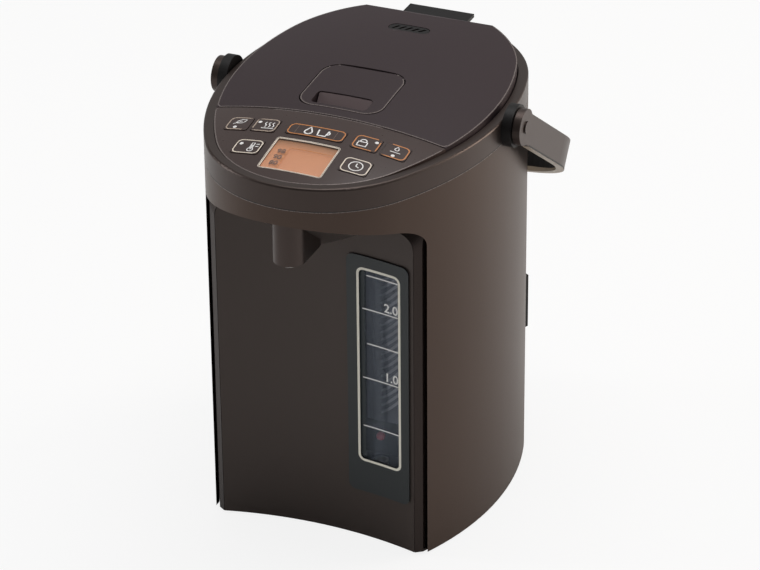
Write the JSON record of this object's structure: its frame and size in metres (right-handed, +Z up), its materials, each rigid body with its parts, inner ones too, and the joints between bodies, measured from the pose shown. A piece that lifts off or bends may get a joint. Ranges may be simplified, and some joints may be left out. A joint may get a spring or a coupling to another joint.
{
  "type": "electric thermo pot",
  "caption": "Oval electric hot-water dispenser with a domed hinged lid, key field, spout under an overhanging head, water gauge and a folding carrying handle.",
  "frame": {"origin": "on the surface the pot stands on, under the middle of its length and width", "axes": "+Z up, +Y towards the rear with the hinge, +X to the right of someone who faces the spout"},
  "size_m": [0.217, 0.2852, 0.298],
  "materials": {
    "casing_brown": "satin metallic",
    "head_brown": "satin",
    "lid_brown": "fine matte",
    "field_film": "gloss film",
    "panel_brown": "satin",
    "frame_black": "gloss",
    "dark_plastic": "matte",
    "gauge_clear": "clear",
    "gauge_back": "striped",
    "float_red": "gloss",
    "lcd_amber": "backlit",
    "steel": "brushed",
    "bright_metal": "polished",
    "pipe_rubber": "silicone",
    "seal_rubber": "silicone",
    "board_green": "solder mask",
    "white_plastic": "matte",
    "copper_metal": "plain"
  },
  "bodies": {
    "root": {"outer_casing": "casing_brown", "head_ring": "head_brown", "head_base": "dark_plastic", "front_cowl": "panel_brown", "front_panel": "panel_brown", "panel_frame": "frame_black", "gauge_bezel": "frame_black", "gauge_window": "gauge_clear", "gauge_backing": "gauge_back", "gauge_tube": "gauge_clear", "operation_panel": "field_film", "lcd_window": "gauge_clear", "lcd_glass": "lcd_amber", "display_board": "board_green", "spout_nozzle": "head_brown", "spout_ring": "bright_metal", "spout_pipe": "pipe_rubber", "tube_elbow": "pipe_rubber", "pump_elbow": "pipe_rubber", "inner_vessel": "steel", "vacuum_wall": "steel", "heater_plate": "steel", "filter_mesh": "steel", "thermostat": "bright_metal", "thermal_fuse": "white_plastic", "pump_body": "white_plastic", "pump_cover": "white_plastic", "pump_motor": "bright_metal", "control_board": "board_green", "base_plate": "dark_plastic", "base_feet": "seal_rubber", "base_screws": "bright_metal", "hinge_pin": "steel", "hinge_bracket": "dark_plastic", "handle_ears": "dark_plastic", "handle_screws": "bright_metal", "inlet_housing": "dark_plastic", "inlet_pins": "copper_metal"},
    "lid": {"lid_cover": "lid_brown", "lid_base": "dark_plastic", "lid_plate": "steel", "lid_gasket": "seal_rubber", "lever_tray": "dark_plastic", "tipover_cage": "dark_plastic", "steam_vent": "dark_plastic"},
    "lever": {"lid_lever": "lid_brown"},
    "latch": {"lid_latch": "dark_plastic"},
    "release": {"lid_release": "dark_plastic"},
    "handle": {"handle_bail": "head_brown"},
    "float": {"gauge_float": "float_red"},
    "impeller": {"pump_impeller": "white_plastic"},
    "magnet": {"motor_magnet": "dark_plastic"},
    "ball": {"tipover_ball": "steel"},
    "save_key": {"save_key": "field_film"},
    "reboil_key": {"reboil_key": "field_film"},
    "dispense_key": {"dispense_key": "field_film"},
    "lock_key": {"lock_key": "field_film"},
    "slow_key": {"slow_key": "field_film"},
    "keep_warm_key": {"keep_warm_key": "field_film"},
    "timer_key": {"timer_key": "field_film"}
  },
  "joints": [
    {"name": "lid_hinge", "type": "hinge", "parent": "root", "child": "lid", "pos_m": [0, 0.1185, 0.2805], "axis": [-1, 0, 0], "range_deg": [0, 75]},
    {"name": "lever_pivot", "type": "hinge", "parent": "lid", "child": "lever", "pos_m": [0, 0.0008, 0.29525], "axis": [-1, 0, 0], "range_deg": [0, 45], "stiffness_Nm_per_rad": 0.02, "springref_deg": -11.46},
    {"name": "latch_slide", "type": "slide", "parent": "lid", "child": "latch", "axis": [0, 1, 0], "range_m": [0, 0.004]},
    {"name": "release_slide", "type": "slide", "parent": "lid", "child": "release", "axis": [0, -1, 0], "range_m": [0, 0.0022], "stiffness_N_per_m": 200, "springref_m": -0.001},
    {"name": "handle_hinge", "type": "hinge", "parent": "root", "child": "handle", "pos_m": [0, 0.0035, 0.275], "axis": [1, 0, 0], "range_deg": [0, 125]},
    {"name": "float_slide", "type": "slide", "parent": "root", "child": "float", "axis": [0, 0, 1], "range_m": [0, 0.118]},
    {"name": "impeller_spin", "type": "hinge", "parent": "root", "child": "impeller", "pos_m": [0, 0.012, 0.032], "axis": [0, 0, 1], "continuous": true},
    {"name": "magnet_spin", "type": "hinge", "parent": "root", "child": "magnet", "pos_m": [0, 0.012, 0.0245], "axis": [0, 0, 1], "continuous": true},
    {"name": "tipover_slide", "type": "slide", "parent": "lid", "child": "ball", "axis": [0, 0, 1], "range_m": [0, 0.004]},
    {"name": "save_key_press", "type": "slide", "parent": "root", "child": "save_key", "axis": [0, 0, -1], "range_m": [0, 0.0006], "stiffness_N_per_m": 400, "springref_m": -0.0003},
    {"name": "reboil_key_press", "type": "slide", "parent": "root", "child": "reboil_key", "axis": [0, 0, -1], "range_m": [0, 0.0006], "stiffness_N_per_m": 400, "springref_m": -0.0003},
    {"name": "dispense_key_press", "type": "slide", "parent": "root", "child": "dispense_key", "axis": [0, 0, -1], "range_m": [0, 0.0006], "stiffness_N_per_m": 400, "springref_m": -0.0003},
    {"name": "lock_key_press", "type": "slide", "parent": "root", "child": "lock_key", "axis": [0, 0, -1], "range_m": [0, 0.0006], "stiffness_N_per_m": 400, "springref_m": -0.0003},
    {"name": "slow_key_press", "type": "slide", "parent": "root", "child": "slow_key", "axis": [0, 0, -1], "range_m": [0, 0.0006], "stiffness_N_per_m": 400, "springref_m": -0.0003},
    {"name": "keep_warm_key_press", "type": "slide", "parent": "root", "child": "keep_warm_key", "axis": [0, 0, -1], "range_m": [0, 0.0006], "stiffness_N_per_m": 400, "springref_m": -0.0003},
    {"name": "timer_key_press", "type": "slide", "parent": "root", "child": "timer_key", "axis": [0, 0, -1], "range_m": [0, 0.0006], "stiffness_N_per_m": 400, "springref_m": -0.0003}
  ],
  "couplings": [
    {"joint": "latch_slide", "follows": "lever_pivot", "m_per_rad": 0.005},
    {"joint": "impeller_spin", "follows": "magnet_spin", "ratio": 1}
  ]
}
